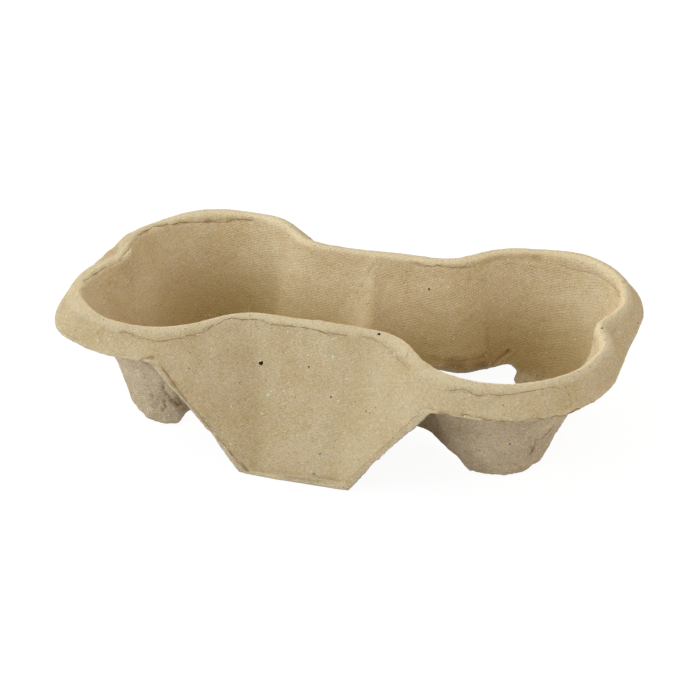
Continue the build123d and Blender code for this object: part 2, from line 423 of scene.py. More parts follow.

# Folds and cracks darkened with painted shade, and patches of painted shade, with their paths in
# points of the picture.
CREASES = (
    Crease(
        "front_rim_left",
        path=(
            (118, 332), (125, 332), (132, 334.6), (143, 338), (154.5, 341), (166, 341), (177, 339),
            (187, 336.5), (197, 334.5), (205, 331), (213, 326), (225, 320), (237, 318.4), (247, 320),
            (255, 319.3), (262, 320.4),
        ),
        depth=0.25,
        width=0.55,
        lip=0.3,
        painted_shade=0.16,
        crack=0.12,
    ),
    Crease(
        "front_rim_middle",
        path=(
            (262, 320.4), (269, 323.3), (278, 325), (286, 326.2), (292, 325.6), (298.5, 326.7),
            (309, 328.5), (320, 331), (327, 333), (336.4, 334.2), (348, 334.8),
        ),
        depth=0.3,
        width=0.55,
        lip=0.3,
        painted_shade=0.25,
        crack=0.17,
    ),
    Crease(
        "front_rim_right",
        path=((362, 335.5), (372, 338.8), (383.5, 345), (393, 353), (403, 363.5), (407.6, 368)),
        depth=0.2,
        width=0.5,
        lip=0.3,
        painted_shade=0.12,
        crack=0.09,
    ),
    Crease(
        "right_skirt_wrinkle",
        path=(
            (447, 391), (461, 389.6), (468, 391), (479, 396), (486, 393), (497, 395), (508.6, 394.5),
            (521, 393), (536.6, 389.6), (546.5, 386.8), (556, 386),
        ),
        depth=0.22,
        width=0.55,
        lip=0.3,
        painted_shade=0.14,
        crack=0.1,
    ),
    Crease(
        "back_rim_left",
        path=((137.5, 236), (155, 226.3), (175, 223.8), (195, 222), (215, 222), (235, 220), (252, 220)),
        depth=0.35,
        width=0.7,
        lip=0.3,
        painted_shade=0.3,
        crack=0.17,
    ),
    Crease(
        "left_end_rim",
        path=((137.5, 236), (128, 250), (119, 261), (106, 267), (92, 275), (84, 281)),
        depth=0.3,
        width=0.6,
        lip=0.3,
        painted_shade=0.25,
        crack=0.13,
    ),
    Crease(
        "back_rim_right",
        path=((412, 263), (426, 266), (438, 265.5), (450, 267), (463, 268), (476, 266)),
        depth=0.3,
        width=0.6,
        lip=0.3,
        painted_shade=0.2,
        crack=0.13,
    ),
    Crease(
        "back_rim_swelling",
        path=((476, 266), (490, 261), (505, 257), (520, 257.5), (540, 260)),
        depth=0.3,
        width=0.9,
        lip=0.5,
        painted_shade=0.25,
        crack=0.0,
    ),
    Crease(
        "right_end_rim",
        path=((555, 262.5), (575, 270), (595, 273.8), (610, 282.5), (617, 291), (620, 300)),
        depth=0.22,
        width=0.6,
        lip=0.3,
        painted_shade=0.12,
        crack=0.06,
    ),
    Crease(
        "divider_fold_tall",
        path=((361.7, 288.3), (366.7, 273.3), (373.3, 266.7)),
        depth=0.3,
        width=0.7,
        lip=0.5,
        painted_shade=0.15,
        crack=0.0,
    ),
    Crease(
        "divider_fold_short",
        path=((356.7, 293.3), (363.3, 281.7)),
        depth=0.25,
        width=0.6,
        lip=0.5,
        painted_shade=0.12,
        crack=0.0,
    ),
    Crease(
        "left_corner_fold",
        path=((140.4, 361.2), (144.6, 357.7), (153, 357)),
        depth=0.4,
        width=0.5,
        lip=0.5,
        painted_shade=0.3,
        crack=0.14,
    ),
    Crease(
        "left_corner_nick",
        path=((141.8, 361.9), (149, 363.3)),
        depth=0.4,
        width=0.4,
        lip=0.4,
        painted_shade=0.35,
        crack=0.2,
    ),
    Crease(
        "left_skirt_wrinkle",
        path=((99, 330.4), (100.4, 338.8)),
        depth=0.3,
        width=0.6,
        lip=0.6,
        painted_shade=0.15,
        crack=0.06,
    ),
    Crease(
        "left_skirt_ripple",
        path=((102.5, 329), (101.8, 340.2)),
        depth=0.25,
        width=0.5,
        lip=0.6,
        painted_shade=0.1,
        crack=0.0,
    ),
    Crease(
        "left_skirt_hook",
        path=((95.5, 314.9), (101, 316.3), (98.3, 318.4)),
        depth=0.3,
        width=0.4,
        lip=0.5,
        painted_shade=0.15,
        crack=0.1,
    ),
    Crease(
        "apron_left_edge",
        path=((161, 366), (172, 381.5), (185, 399.3), (197.3, 413.2), (217.3, 436.5), (238.5, 462)),
        depth=0.3,
        width=0.7,
        lip=0.3,
        painted_shade=0.35,
        crack=0.17,
    ),
    Crease(
        "apron_right_edge",
        path=((346, 482), (380, 450), (417, 415)),
        depth=0.15,
        width=0.5,
        lip=0.3,
        painted_shade=0.15,
        crack=0.06,
    ),
    Crease(
        "apron_corner_fold",
        path=((240, 463), (244, 467), (248, 470.5)),
        depth=0.5,
        width=0.5,
        lip=0.4,
        painted_shade=0.5,
        crack=0.2,
    ),
    Crease(
        "right_hem_line",
        path=(
            (430, 414.2), (438.4, 412.8), (448, 413.9), (458, 414.2), (476, 416.6), (489, 420),
            (500, 421.4), (517, 421.4), (534, 419.4), (549, 418), (565, 415), (581.5, 408), (592, 402.6),
        ),
        depth=0.25,
        width=0.5,
        lip=0.3,
        painted_shade=0.3,
        crack=0.14,
    ),
    Crease(
        "left_foot_crack",
        path=((163, 384.4), (163.6, 390.7), (170, 397), (171.3, 400.5)),
        depth=0.9,
        width=0.6,
        lip=0.5,
        painted_shade=0.6,
        crack=0.26,
    ),
    Crease(
        "left_foot_split",
        path=((164.3, 402), (166.4, 406.8), (163, 411)),
        depth=0.7,
        width=0.55,
        lip=0.5,
        painted_shade=0.5,
        crack=0.22,
    ),
    Crease(
        "left_foot_nick",
        path=((151.7, 393.5), (153.8, 397)),
        depth=0.4,
        width=0.5,
        lip=0.4,
        painted_shade=0.4,
        crack=0.15,
    ),
    Crease(
        "left_foot_tear",
        path=((174, 402), (178, 406), (181, 405)),
        depth=0.6,
        width=0.7,
        lip=0.6,
        painted_shade=0.7,
        crack=0.3,
    ),
    # Painted shade on the left foot, over a shallow dip.
    Crease(
        "left_foot_painted_shade",
        path=((173, 399), (180, 403), (185, 408)),
        depth=0.2,
        width=3.2,
        lip=0.0,
        painted_shade=0.45,
        crack=0.0,
    ),
    Crease(
        "right_foot_crack",
        path=((535.5, 440.8), (531.3, 451.4), (528.2, 455.6)),
        depth=0.5,
        width=0.6,
        lip=0.6,
        painted_shade=0.35,
        crack=0.16,
    ),
    Crease(
        "right_foot_fold",
        path=((555.6, 421.2), (549.3, 430.3), (542.2, 438)),
        depth=0.35,
        width=0.7,
        lip=0.6,
        painted_shade=0.25,
        crack=0.1,
    ),
    Crease(
        "right_foot_ridge",
        path=((538, 433), (533, 439.4), (528.2, 449.3)),
        depth=0.25,
        width=0.7,
        lip=0.9,
        painted_shade=0.1,
        crack=0.0,
    ),
    Crease(
        "right_foot_ripple",
        path=((497, 464.7), (508.6, 464), (520, 465.4)),
        depth=0.25,
        width=0.6,
        lip=0.5,
        painted_shade=0.15,
        crack=0.06,
    ),
    Crease(
        "gap_bend",
        path=((430, 359.5), (447, 360.2), (465, 360.2), (478, 358.8), (486, 356)),
        depth=0.3,
        width=0.9,
        lip=0.3,
        painted_shade=0.35,
        crack=0.1,
    ),
    Crease(
        "gap_shade",
        path=((425, 363), (447, 365), (465, 366), (485, 364)),
        depth=0.0,
        width=2.2,
        lip=0.0,
        painted_shade=0.5,
        crack=0.0,
    ),
    Crease(
        "gap_tongue_fold",
        path=((490, 366.5), (496, 360.2), (506, 354), (508.6, 351.7)),
        depth=0.5,
        width=0.7,
        lip=0.7,
        painted_shade=0.3,
        crack=0.15,
    ),
)


@dataclass(frozen=True)
class Relief:
    """One size of random unevenness.

    Attributes:
        size: Typical width of one swell, in millimetres.
        seed: Fixed seed.
        depth: How far it rises and falls, in millimetres or as a share.
    """

    size: float
    seed: int
    depth: float = 1.0

    def over(self, points: np.ndarray) -> np.ndarray:
        """Height at each point."""
        return RandomField(self.size, self.seed)(points) * self.depth


@dataclass(frozen=True)
class RimLine:
    """A fine line that follows an edge of the sheet.

    Attributes:
        inset: How far it runs from the edge, in millimetres.
        width: Half its width, in millimetres.
        depth: How deep it is, in millimetres.
        painted_shade: How dark its painted shade is, from 0 to 1.
        patches: The random field that interrupts it.
        gap: Values of that field at which it is gone and at which it is whole.
    """

    inset: float
    width: float
    depth: float
    painted_shade: float
    patches: Relief
    gap: tuple[float, float]

    def over(self, away: np.ndarray, points: np.ndarray) -> np.ndarray:
        """How strongly the line shows at each point, given how far the edge is."""
        return fading(away - self.inset, self.width) * smooth_step(self.patches.over(points), *self.gap)


@dataclass
class PulpSheet:
    """The whole carrier: one sheet of pulp, moulded, dried and trimmed. Lengths are in millimetres."""

    name: str = "pulp_sheet"
    height: float = 48.0
    pocket_middle: float = 54.0
    bends: tuple[Bend, ...] = BENDS
    creases: tuple[Crease, ...] = CREASES
    lowest: float = -0.45

    # The mesh: how near points are joined, how far apart they then stand, and how many triangles are kept.
    weld: float = 0.002
    voxel: float = 0.5
    triangles: int = 190000

    # Trimmed edges: the turn in degrees that makes one, and how far around it the sheet is evened and calm.
    trim_angle: float = 75.0
    trim_step: float = 0.4
    even_reach: float = 1.2
    even_rounds: int = 14
    even_pull: float = 0.6
    calm_reach: float = 4.0
    calm_share: float = 0.85
    crest_calm: float = 0.7

    # Where a mark begins and where it is full: slopes of the surface, drop below the crest, height.
    under_slope: tuple[float, float] = (-0.12, 0.12)
    crest_drop: tuple[float, float] = (2.2, 0.2)
    pocket_slope: tuple[float, float] = (-0.1, 0.35)
    deep_height: tuple[float, float] = (36.0, 8.0)

    # Unevenness of dried pulp. The underside never touched the mould and is rougher.
    swell: Relief = Relief(size=16.0, seed=11, depth=0.22)
    lump: Relief = Relief(size=3.2, seed=12, depth=0.09)
    pit: Relief = Relief(size=0.9, seed=13, depth=0.035)
    under_rougher: float = 0.9

    # Creases: how they wander, fade and swell up beside their groove, in widths of the crease.
    crease_margin: float = 4.0
    crease_wander: Relief = Relief(size=1.6, seed=41, depth=0.25)
    crease_fade: Relief = Relief(size=4.0, seed=42, depth=0.35)
    crease_strength: float = 0.8
    crease_range: tuple[float, float] = (0.15, 1.25)
    lip_place: float = 2.2
    lip_width: float = 0.9

    # Lines by rule: below the crest on the side that the picture hides, and along the trimmed edges.
    # These lines are pressed in and darkened with painted shade.
    crest_line: RimLine = RimLine(
        inset=4.3, width=0.38, depth=0.28, painted_shade=0.3, patches=Relief(size=14.0, seed=23), gap=(-0.7, 0.5)
    )
    trim_line: RimLine = RimLine(
        inset=1.5, width=0.3, depth=0.08, painted_shade=0.26, patches=Relief(size=8.0, seed=24), gap=(-0.9, 0.6)
    )
    edge_line: RimLine = RimLine(
        inset=0.0, width=0.45, depth=0.0, painted_shade=0.42, patches=Relief(size=11.0, seed=25), gap=(-1.2, 0.4)
    )
    line_wobble: Relief = Relief(size=9.0, seed=21, depth=0.75)
    line_shiver: Relief = Relief(size=2.5, seed=22, depth=0.25)
    trim_wobble: float = 0.3
    hidden_slope: tuple[float, float] = (-0.25, 0.05)

    # Torn fibres along the edges and under the feet.
    ragged_depth: float = 0.014
    ragged_reach: float = 1.3
    ragged_fine: Relief = Relief(size=0.8, seed=31)
    ragged_long: Relief = Relief(size=5.0, seed=32, depth=0.9)
    torn_rise: float = 0.55
    torn_height: float = 2.4
    torn_patches: Relief = Relief(size=2.6, seed=33)
    torn_gap: tuple[float, float] = (-0.2, 1.6)
    foot_span: tuple[float, float] = (30.0, 45.0)

    def build(self, node: bpy.types.Object, camera: PhotoCamera) -> bpy.types.Object:
        """Make the sheet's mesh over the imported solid.

        Args:
            node: The solid from the frame.
            camera: The viewpoint that creases are placed from.

        Returns:
            The finished object, with the marks its material reads.
        """
        mould = self.merged(node)
        trim = self.trimmed_edges(mould)
        sheet = self.fine_copy(mould)
        normals = normals_of(sheet.data)
        marks = self.marks(points_of(sheet.data), normals, trim)
        points = self.evened(sheet.data, fading(marks[Mark.TRIM], self.even_reach))
        moved = points + self.bent(points)
        move_points(sheet.data, moved)
        moved = moved + self.pressed(sheet.data, moved, marks, camera)
        moved = moved + self.rough(points, normals, marks, camera)
        moved[:, 2] = np.maximum(moved[:, 2], self.lowest)
        move_points(sheet.data, moved)
        self.thin_out(sheet, marks)
        sheet.data.polygons.foreach_set("use_smooth", [True] * len(sheet.data.polygons))
        bpy.data.objects.remove(mould)
        return sheet

    def merged(self, node: bpy.types.Object) -> bpy.types.Object:
        """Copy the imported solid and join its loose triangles.

        Args:
            node: The solid from the frame.

        Returns:
            The closed copy.
        """
        shape = bmesh.new()
        shape.from_mesh(node.data)
        bmesh.ops.remove_doubles(shape, verts=shape.verts, dist=self.weld * MM)
        bmesh.ops.recalc_face_normals(shape, faces=shape.faces)
        mesh = bpy.data.meshes.new("mould_shape")
        shape.to_mesh(mesh)
        shape.free()
        return link(bpy.data.objects.new("mould_shape", mesh))

    def trimmed_edges(self, mould: bpy.types.Object) -> KDTree:
        """Points along every edge where the sheet was cut.

        Args:
            mould: The closed solid.

        Returns:
            A search tree of those points, in millimetres.
        """
        shape = bmesh.new()
        shape.from_mesh(mould.data)
        places = []
        for edge in shape.edges:
            if not edge.is_manifold or edge.calc_face_angle_signed() < math.radians(self.trim_angle):
                continue
            start = edge.verts[0].co / MM
            end = edge.verts[1].co / MM
            steps = max(1, int((end - start).length / self.trim_step))
            places += [start.lerp(end, i / steps) for i in range(steps + 1)]
        shape.free()
        return search_tree(places)

    def fine_copy(self, mould: bpy.types.Object) -> bpy.types.Object:
        """Make an even mesh of the solid, fine enough to carry pits and creases.

        Args:
            mould: The closed solid.

        Returns:
            The new object.
        """
        sheet = link(bpy.data.objects.new(self.name, mould.data.copy()))
        remesh = sheet.modifiers.new("even", "REMESH")
        remesh.mode = "VOXEL"
        remesh.voxel_size = self.voxel * MM
        plain_mesh(sheet)
        return sheet

    def marks(self, points: np.ndarray, normals: np.ndarray, trim: KDTree) -> dict[Mark, np.ndarray]:
        """Where the sheet is cut, worn or seen from below, for its shape and its material.

        Args:
            points: Vertex positions, in millimetres.
            normals: Vertex normals.
            trim: The trimmed edges.

        Returns:
            One array of numbers for each mark, with no crease yet.
        """
        distance = np.array([trim.find(p)[2] for p in points])
        under = smooth_step(-normals[:, 2], *self.under_slope)
        upper = 1.0 - under
        drop = self.height - points[:, 2]
        crest_low, crest_top = self.crest_drop
        crest = smooth_step(-drop, -crest_low, -crest_top) * upper
        across = np.copysign(self.pocket_middle, points[:, 0])
        inward = np.stack([across, np.zeros(len(points))], axis=1) - points[:, :2]
        facing = (inward * normals[:, :2]).sum(axis=1) / np.maximum(np.linalg.norm(inward, axis=1), 1.0)
        pocket = smooth_step(facing, *self.pocket_slope) * upper
        # Low in a pocket, where the material paints shade.
        deep_top, deep_foot = self.deep_height
        deep = pocket * smooth_step(-points[:, 2], -deep_top, -deep_foot)
        return {
            Mark.TRIM: distance,
            Mark.UNDER: under,
            Mark.CREST: crest,
            Mark.CREASE: np.zeros(len(points)),
            Mark.POCKET: pocket,
            Mark.DEEP: deep,
        }

    def evened(self, mesh: bpy.types.Mesh, share: np.ndarray) -> np.ndarray:
        """Take the steps that an even mesh leaves along a sharp edge out of it.

        Args:
            mesh: The even mesh.
            share: How much each vertex follows its neighbours, from 0 to 1.

        Returns:
            The new vertex positions, in millimetres.
        """
        ends = np.empty(len(mesh.edges) * 2, np.int32)
        mesh.edges.foreach_get("vertices", ends)
        first, second = ends.reshape(-1, 2).T
        points = points_of(mesh)
        count = len(points)
        total = np.bincount(np.concatenate([first, second]), minlength=count)
        for _ in range(self.even_rounds):
            moved = np.empty_like(points)
            for axis in range(3):
                value = points[:, axis]
                forward = np.bincount(first, value[second], count)
                backward = np.bincount(second, value[first], count)
                moved[:, axis] = (forward + backward) / total
            points += (moved - points) * (self.even_pull * share)[:, None]
        return points

    def bent(self, points: np.ndarray) -> np.ndarray:
        """Push the sheet out of its mould shape, as handling did.

        Args:
            points: Vertex positions, in millimetres.

        Returns:
            Displacement of each vertex.
        """
        total = np.zeros_like(points)
        for bend in self.bends:
            total += bend.move(points)
        return total

    def pressed(
        self, mesh: bpy.types.Mesh, points: np.ndarray, marks: dict[Mark, np.ndarray], camera: PhotoCamera
    ) -> np.ndarray:
        """Press the creases in, and note their painted shade in the crease mark.

        Args:
            mesh: The sheet, for finding the surface under each point of the picture.
            points: Vertex positions, in millimetres.
            marks: The marks, whose crease entry is filled in.
            camera: The viewpoint of the picture.

        Returns:
            Displacement of each vertex.
        """
        normals = normals_of(mesh)
        total = np.zeros_like(points)
        surface = SurfaceFinder(mesh, camera)
        wander = RandomField(self.crease_wander.size, self.crease_wander.seed)
        fade = RandomField(self.crease_fade.size, self.crease_fade.seed)
        for crease in self.creases:
            hits = [surface.hit(x, y) for x, y in crease.path]
            line = np.array([tuple(hit[0]) for hit in hits if hit is not None])
            if len(line) < 2:
                LOG.warning("%s misses the sheet", crease.name)
                continue
            low = line.min(axis=0) - self.crease_margin
            high = line.max(axis=0) + self.crease_margin
            near = np.nonzero(((points > low) & (points < high)).all(axis=1))[0]
            spot = points[near]
            away = np.abs(distance_to(line, spot) + self.crease_wander.depth * wander(spot))
            strength = self.crease_strength + self.crease_fade.depth * fade(spot)
            strength = np.clip(strength, *self.crease_range)
            groove = fading(away, crease.width) * strength
            lip = fading(away - self.lip_place * crease.width, self.lip_width * crease.width) * strength
            total[near] -= normals[near] * (crease.depth * (groove - crease.lip * lip))[:, None]
            # Painted shade in the fold.
            marks[Mark.CREASE][near] = np.maximum(marks[Mark.CREASE][near], crease.painted_shade * groove)
        return total

    def rough(
        self, points: np.ndarray, normals: np.ndarray, marks: dict[Mark, np.ndarray], camera: PhotoCamera
    ) -> np.ndarray:
        """Swells, lumps and pits of dried pulp, the lines that follow its rims, and torn edges.

        Args:
            points: Vertex positions in the mould, in millimetres.
            normals: Vertex normals in the mould.
            marks: The marks, whose crease entry is added to.
            camera: The viewpoint of the picture, which shows where no line is made by rule.

        Returns:
            Displacement of each vertex.
        """
        trim = marks[Mark.TRIM]
        near_rim = np.maximum(fading(trim, self.calm_reach), self.crest_calm * marks[Mark.CREST])
        calm = 1.0 - self.calm_share * near_rim
        coarse = 1.0 + self.under_rougher * marks[Mark.UNDER]
        small = (self.lump.over(points) + self.pit.over(points)) * coarse
        rise = self.swell.over(points) + small * calm - self.lines(points, normals, marks, camera)
        tear = self.ragged_fine.over(points) + self.ragged_long.over(points)
        moved = normals * (rise + fading(trim, self.ragged_reach) * tear * self.ragged_depth)[:, None]
        foot = fading(points[:, 2], self.torn_height) * smooth_step(np.abs(points[:, 0]), *self.foot_span)
        moved[:, 2] += foot * self.torn_rise * smooth_step(self.torn_patches.over(points), *self.torn_gap)
        return moved

    def lines(
        self, points: np.ndarray, normals: np.ndarray, marks: dict[Mark, np.ndarray], camera: PhotoCamera
    ) -> np.ndarray:
        """Fine lines of painted shade that follow the crest and the trimmed edges.

        Args:
            points: Vertex positions in the mould, in millimetres.
            normals: Vertex normals in the mould.
            marks: The marks, whose crease entry is added to.
            camera: The viewpoint. The side it sees has no line below the crest, but its own creases.

        Returns:
            How deep the lines are at each vertex.
        """
        hidden = smooth_step(normals @ -np.array(camera.axes().col[2]), *self.hidden_slope)
        wobble = self.line_wobble.over(points) + self.line_shiver.over(points)
        drop = self.height - points[:, 2]
        trim = marks[Mark.TRIM]
        crest_show = self.crest_line.over(drop - wobble, points) * (1.0 - marks[Mark.UNDER]) * hidden
        shown = (
            (self.crest_line, crest_show),
            (self.trim_line, self.trim_line.over(trim - self.trim_wobble * wobble, points)),
            (self.edge_line, self.edge_line.over(trim, points)),
        )
        depth = np.zeros(len(points))
        for line, show in shown:
            # Painted shade along each line.
            marks[Mark.CREASE] = np.maximum(marks[Mark.CREASE], line.painted_shade * show)
            depth += line.depth * show
        return depth

    def thin_out(self, sheet: bpy.types.Object, marks: dict[Mark, np.ndarray]) -> None:
        """Drop the points that carry no detail, and keep the marks on those that stay.

        Args:
            sheet: The fine sheet.
            marks: One array for each mark, in the fine sheet's vertex order.
        """
        fine = search_tree(points_of(sheet.data))
        faces = sum(len(p.vertices) - 2 for p in sheet.data.polygons)
        thin = sheet.modifiers.new("thin", "DECIMATE")
        thin.ratio = min(1.0, self.triangles / faces)
        mesh = plain_mesh(sheet)
        nearest = np.array([fine.find(p)[1] for p in points_of(mesh)])
        for mark, values in marks.items():
            store(mesh, mark.value, values[nearest])


class Socket(Enum):
    """Values on the plain shader that every finish sets."""

    COLOUR = "Base Color"
    ROUGHNESS = "Roughness"
    SPECULAR = "Specular IOR Level"


class NodeSheet:
    """A node tree while it is being drawn."""

    def __init__(self, tree: bpy.types.NodeTree) -> None:
        """Start from an empty tree."""
        self.tree = tree
        self.tree.nodes.clear()

    def add(self, kind: str, settings: dict | None = None, links: dict | None = None) -> bpy.types.Node:
        """Add one node.

        Args:
            kind: The node's type name.
            settings: Its properties, and the constants of its inputs by name or number.
            links: The output that feeds each input, by name or number.

        Returns:
            The new node.
        """
        node = self.tree.nodes.new(kind)
        for key, value in (settings or {}).items():
            if isinstance(key, str) and hasattr(node, key):
                setattr(node, key, value)
            else:
                node.inputs[key].default_value = value
        for key, output in (links or {}).items():
            self.tree.links.new(output, node.inputs[key])
        return node


def new_material(name: str) -> tuple[bpy.types.Material, NodeSheet]:
    """Start an empty material.

    Args:
        name: What it is and how it was made.

    Returns:
        The material and its nodes.
    """
    material = bpy.data.materials.new(name)
    material.use_nodes = True
    return material, NodeSheet(material.node_tree)


@dataclass(frozen=True)
class MouldedPulp:
    """Moulded recycled paper pulp: matt, fibrous, tan above and grey below. Lengths are in millimetres.

    It was drawn wet onto a wire form and dried in air. To the eye it has no shine at any angle, the weave of
    the wire shows at about a millimetre, and the colour is mottled by fibres of many papers.
    Light and shade are painted in as well: painted shade makes the pockets browner low down and darkens the
    creases and edges, the faces into the pockets are painted lighter and the outer faces darker, and
    painted highlights make the crest and a strip along the trimmed edges pale.
    """

    name: str = "moulded_pulp_drawn_on_wire"
    upper: str = "D1BE9D"
    upper_deep: str = "BEA579"
    # Painted shade: the browner, darker colour low in the pockets.
    pocket_painted_shade: str = "AF9565"
    under: str = "DAC7A8"
    under_deep: str = "B19B7D"
    # Painted highlight: the pale colour put on the crest and on a strip along the trimmed edges.
    crest: str = "DCCBA8"
    # Painted shade: the dark colour put in the creases and along the edges.
    painted_shade: str = "6E5130"
    roughness: float = 0.95
    specular: float = 0.18
    # Painted light and shade: faces into the pockets are painted lighter, the outer faces darker.
    outer_painted_shade: float = 0.93
    pocket_painted_light: float = 1.1
    crest_highlight_share: float = 0.6

    # Clouds of thicker and thinner pulp, with the fibres over them.
    cloud_size: float = 14.0
    cloud_detail: float = 3.0
    cloud_roughness: float = 0.55
    cloud_share: float = 0.45
    mottle_range: tuple[float, float] = (0.55, 0.9)

    # One fibre is 0.03 mm wide, too fine to show, so these are the size of fibre clumps.
    fibre_size: float = 0.9
    fibre_detail: float = 4.0
    fibre_roughness: float = 0.7
    fibre_curl: float = 1.2
    grain_size: float = 0.45
    grain_detail: float = 3.0
    grain_roughness: float = 0.75
    grain_range: tuple[float, float] = (0.32, 0.68)
    grain_depth: float = 0.2
    grain_strength: float = 0.95
    grain_height: float = 0.3

    # Dyed fibres: how far each of red, green and blue moves.
    tint_size: float = 0.7
    tint_detail: float = 2.0
    tint_depth: tuple[float, float, float] = (0.3, 0.38, 0.78)
    tint_level: tuple[float, float, float] = (0.85, 0.81, 0.61)

    # The strip of painted highlight along a trimmed edge, as distances from it.
    band_range: tuple[float, float] = (2.0, 1.2)
    edge_highlight_share: float = 0.3

    # Print of the wire form, turned in radians. A wave texture of scale 1 repeats every 0.314 units.
    wave_run: float = 0.314
    wire_pitch: float = 0.95
    wire_turn: float = 1.955
    wire_waver: float = 0.9
    wire_detail: float = 1.0
    wire_cross: float = 0.35
    wire_strength: float = 0.65
    wire_height: float = 0.12

    def build(self) -> bpy.types.Material:
        """Draw the material's nodes.

        Returns:
            The material.
        """
        material, sheet = new_material(self.name)
        place = sheet.add("ShaderNodeTexCoord").outputs["Object"]
        marks = {
            mark: sheet.add("ShaderNodeAttribute", {"attribute_name": mark.value}).outputs["Fac"]
            for mark in Mark
        }
        grain = sheet.add(
            "ShaderNodeTexNoise",
            {
                "Scale": 1 / (self.grain_size * MM),
                "Detail": self.grain_detail,
                "Roughness": self.grain_roughness,
            },
            {0: place},
        ).outputs["Fac"]
        painted_light_and_shade = self.painted_light_and_shade(sheet, self.sides(sheet, place, marks), marks)
        skin = sheet.add(
            "ShaderNodeBsdfPrincipled",
            {Socket.ROUGHNESS.value: self.roughness, Socket.SPECULAR.value: self.specular},
            {
                Socket.COLOUR.value: self.speckled(sheet, painted_light_and_shade, place, grain, marks),
                "Normal": self.relief(sheet, place, grain),
            },
        )
        sheet.add("ShaderNodeOutputMaterial", links={"Surface": skin.outputs[0]})
        return material

    def sides(
        self, sheet: NodeSheet, place: bpy.types.NodeSocket, marks: dict[Mark, bpy.types.NodeSocket]
    ) -> bpy.types.NodeSocket:
        """Mottled colour of the upper side and the underside, with painted shade low in the pockets.

        Args:
            sheet: The material's nodes.
            place: Where each point is on the piece.
            marks: The sheet's marks.

        Returns:
            The colour.
        """
        cloud = sheet.add(
            "ShaderNodeTexNoise",
            {
                "Scale": 1 / (self.cloud_size * MM),
                "Detail": self.cloud_detail,
                "Roughness": self.cloud_roughness,
            },
            {0: place},
        )
        fibre = sheet.add(
            "ShaderNodeTexNoise",
            {
                "Scale": 1 / (self.fibre_size * MM),
                "Detail": self.fibre_detail,
                "Roughness": self.fibre_roughness,
                "Distortion": self.fibre_curl,
            },
            {0: place},
        )
        mottle = sheet.add(
            "ShaderNodeMath",
            {"operation": "MULTIPLY_ADD", 1: self.cloud_share},
            {0: cloud.outputs["Fac"], 2: fibre.outputs["Fac"]},
        )
        low, high = self.mottle_range
        mixed = sheet.add(
            "ShaderNodeMapRange", {"From Min": low, "From Max": high}, {"Value": mottle.outputs[0]}
        ).outputs[0]
        upper = sheet.add(
            "ShaderNodeMix",
            {"data_type": "RGBA", MIX_FIRST: linear(self.upper_deep), MIX_SECOND: linear(self.upper)},
            {0: mixed},
        ).outputs[MIX_RESULT]
        # Painted shade low in the pockets.
        inner = sheet.add(
            "ShaderNodeMix",
            {"data_type": "RGBA", MIX_SECOND: linear(self.pocket_painted_shade)},
            {0: marks[Mark.DEEP], MIX_FIRST: upper},
        ).outputs[MIX_RESULT]
        below = sheet.add(
            "ShaderNodeMix",
            {"data_type": "RGBA", MIX_FIRST: linear(self.under_deep), MIX_SECOND: linear(self.under)},
            {0: mixed},
        ).outputs[MIX_RESULT]
        return sheet.add(
            "ShaderNodeMix",
            {"data_type": "RGBA"},
            {0: marks[Mark.UNDER], MIX_FIRST: inner, MIX_SECOND: below},
        ).outputs[MIX_RESULT]

    def painted_light_and_shade(
        self, sheet: NodeSheet, colour: bpy.types.NodeSocket, marks: dict[Mark, bpy.types.NodeSocket]
    ) -> bpy.types.NodeSocket:
        """Paint a highlight on the crest and on a strip along the trim, and painted shade in the creases.

        Args:
            sheet: The material's nodes.
            colour: The colour of clean pulp.
            marks: The sheet's marks.

        Returns:
            The colour with its painted highlights and painted shade.
        """
        # Painted highlight on the crest.
        crest_highlight = sheet.add(
            "ShaderNodeMath", {"operation": "MULTIPLY", 1: self.crest_highlight_share}, {0: marks[Mark.CREST]}
        )
        # Painted highlight on a strip along each trimmed edge.
        outer, inner = self.band_range
        band = sheet.add(
            "ShaderNodeMapRange",
            {"From Min": outer, "From Max": inner, "To Max": self.edge_highlight_share},
            {"Value": marks[Mark.TRIM]},
        )
        layers = (
            (self.crest, crest_highlight.outputs[0]),
            (self.crest, band.outputs[0]),
            # Painted shade in the creases and along the edges.
            (self.painted_shade, marks[Mark.CREASE]),
        )
        for code, share in layers:
            colour = sheet.add(
                "ShaderNodeMix",
                {"data_type": "RGBA", MIX_SECOND: linear(code)},
                {0: share, MIX_FIRST: colour},
            ).outputs[MIX_RESULT]
        return colour

